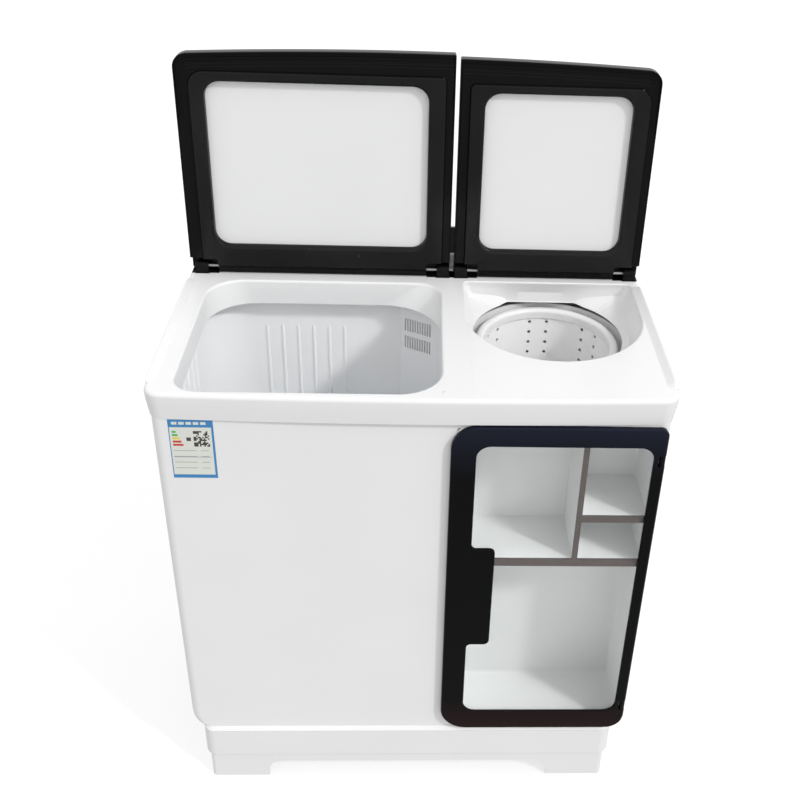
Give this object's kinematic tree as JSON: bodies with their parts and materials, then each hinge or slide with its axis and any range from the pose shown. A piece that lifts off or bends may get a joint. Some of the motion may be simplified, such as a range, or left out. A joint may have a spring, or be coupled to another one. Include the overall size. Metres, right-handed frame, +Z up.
{
  "type": "top load washing machine",
  "caption": "Upright twin tub washing machine with two hinged window lids standing open, a wash tub, a spin basket and a glazed storage cabinet in its front.",
  "frame": {"origin": "centre of the footprint, on the floor", "axes": "+Z up, -Y out of the front, +X to the right seen from the front"},
  "size_m": [0.79, 0.49, 1.2315],
  "materials": {
    "black_gloss": "polished",
    "door_glass": "clear",
    "grey_plastic": "matte",
    "knob_silver": "satin",
    "label": "printed film",
    "motor_paint": "satin",
    "pane": "frosted",
    "pulsator_blue": "satin",
    "rear_panel": "ribbed",
    "rubber": "matte",
    "steel": "brushed",
    "trim": "satin",
    "tub_plastic": "satin moulded",
    "white_plastic": "satin moulded",
    "zinc": "cast"
  },
  "bodies": {
    "cabinet": {"body_shell": "white_plastic", "rear_panel": "rear_panel", "rear_panel_screws": "steel", "base_plinth": "white_plastic", "foot_pads": "rubber", "top_deck": "white_plastic", "console_housing": "white_plastic", "console_fascia": "black_gloss", "timer_units": "grey_plastic", "wash_tub": "tub_plastic", "overflow_filter_cover": "tub_plastic", "wash_bearing_housing": "zinc", "wash_motor_body": "motor_paint", "motor_bracket": "motor_paint", "drive_belt": "rubber", "spin_outer_tub": "tub_plastic", "spin_seal": "rubber", "spin_motor_body": "motor_paint", "spin_motor_springs": "rubber", "storage_liner": "white_plastic", "main_shelf": "white_plastic", "shelf_divider": "white_plastic", "small_shelf": "white_plastic", "shelf_trims": "trim", "door_catch": "steel", "door_hinge_lugs": "black_gloss", "lid_hinge_blocks": "black_gloss", "drain_valve_body": "grey_plastic", "drain_outlet": "grey_plastic", "water_inlets": "grey_plastic", "cable_gland": "rubber", "energy_label": "label", "motor_capacitor": "grey_plastic"},
    "left_lid": {"left_lid_shell": "black_gloss", "left_lid_frame": "black_gloss", "left_lid_pane": "pane", "left_lid_pins": "steel"},
    "right_lid": {"right_lid_shell": "black_gloss", "right_lid_frame": "black_gloss", "right_lid_pane": "pane", "right_lid_pins": "steel"},
    "door": {"door_frame": "black_gloss", "door_window": "door_glass", "door_pins": "steel"},
    "wash_timer_knob": {"wash_timer_knob": "knob_silver"},
    "wash_mode_knob": {"wash_mode_knob": "knob_silver"},
    "drain_knob": {"drain_knob": "knob_silver"},
    "spin_timer_knob": {"spin_timer_knob": "knob_silver"},
    "wash_rotor": {"pulsator": "pulsator_blue", "pulsator_shaft": "steel", "driven_pulley": "zinc"},
    "wash_motor_rotor": {"wash_motor_shaft": "steel", "motor_pulley": "zinc"},
    "spin_rotor": {"spin_basket": "tub_plastic", "balance_ring": "white_plastic", "spin_shaft": "steel", "brake_drum": "motor_paint"},
    "brake_lever": {"brake_lever": "motor_paint"},
    "drain_plunger": {"drain_plunger": "rubber"}
  },
  "joints": [
    {"name": "left_lid_hinge", "type": "hinge", "parent": "cabinet", "child": "left_lid", "pos_m": [0, 0.154, 0.852], "axis": [1, 0, 0], "range_deg": [0, 91.5]},
    {"name": "right_lid_hinge", "type": "hinge", "parent": "cabinet", "child": "right_lid", "pos_m": [0, 0.154, 0.852], "axis": [1, 0, 0], "range_deg": [0, 91.5]},
    {"name": "door_hinge", "type": "hinge", "parent": "cabinet", "child": "door", "pos_m": [0.378, -0.239, 0.463], "axis": [0, 0, 1], "range_deg": [0, 105]},
    {"name": "wash_timer_turn", "type": "hinge", "parent": "cabinet", "child": "wash_timer_knob", "pos_m": [-0.29, 0.213, 0.88217], "axis": [0, -0.5, 0.866], "range_deg": [-300, 0]},
    {"name": "wash_mode_turn", "type": "hinge", "parent": "cabinet", "child": "wash_mode_knob", "pos_m": [-0.1, 0.213, 0.88217], "axis": [0, -0.5, 0.866], "range_deg": [-90, 0]},
    {"name": "drain_turn", "type": "hinge", "parent": "cabinet", "child": "drain_knob", "pos_m": [0.095, 0.213, 0.88217], "axis": [0, -0.5, 0.866], "range_deg": [-90, 0]},
    {"name": "spin_timer_turn", "type": "hinge", "parent": "cabinet", "child": "spin_timer_knob", "pos_m": [0.29, 0.213, 0.88217], "axis": [0, -0.5, 0.866], "range_deg": [-300, 0]},
    {"name": "pulsator_spin", "type": "hinge", "parent": "cabinet", "child": "wash_rotor", "pos_m": [-0.161, -0.0355, 0.375], "axis": [0, 0, 1], "continuous": true},
    {"name": "wash_motor_spin", "type": "hinge", "parent": "cabinet", "child": "wash_motor_rotor", "pos_m": [0.005, 0.055, 0.29], "axis": [0, 0, 1], "continuous": true},
    {"name": "basket_spin", "type": "hinge", "parent": "cabinet", "child": "spin_rotor", "pos_m": [0.223, 0.025, 0.448], "axis": [0, 0, 1], "continuous": true},
    {"name": "brake_swing", "type": "hinge", "parent": "cabinet", "child": "brake_lever", "pos_m": [0.289, 0.025, 0.365], "axis": [0, 0, 1], "range_deg": [-8, 0]},
    {"name": "drain_lift", "type": "slide", "parent": "cabinet", "child": "drain_plunger", "axis": [0, 0, 1], "range_m": [0, 0.012]}
  ],
  "couplings": [
    {"joint": "wash_motor_spin", "follows": "pulsator_spin", "ratio": 3.8636},
    {"joint": "brake_swing", "follows": "right_lid_hinge", "ratio": -0.0874},
    {"joint": "drain_lift", "follows": "drain_turn", "m_per_rad": -0.00763}
  ]
}
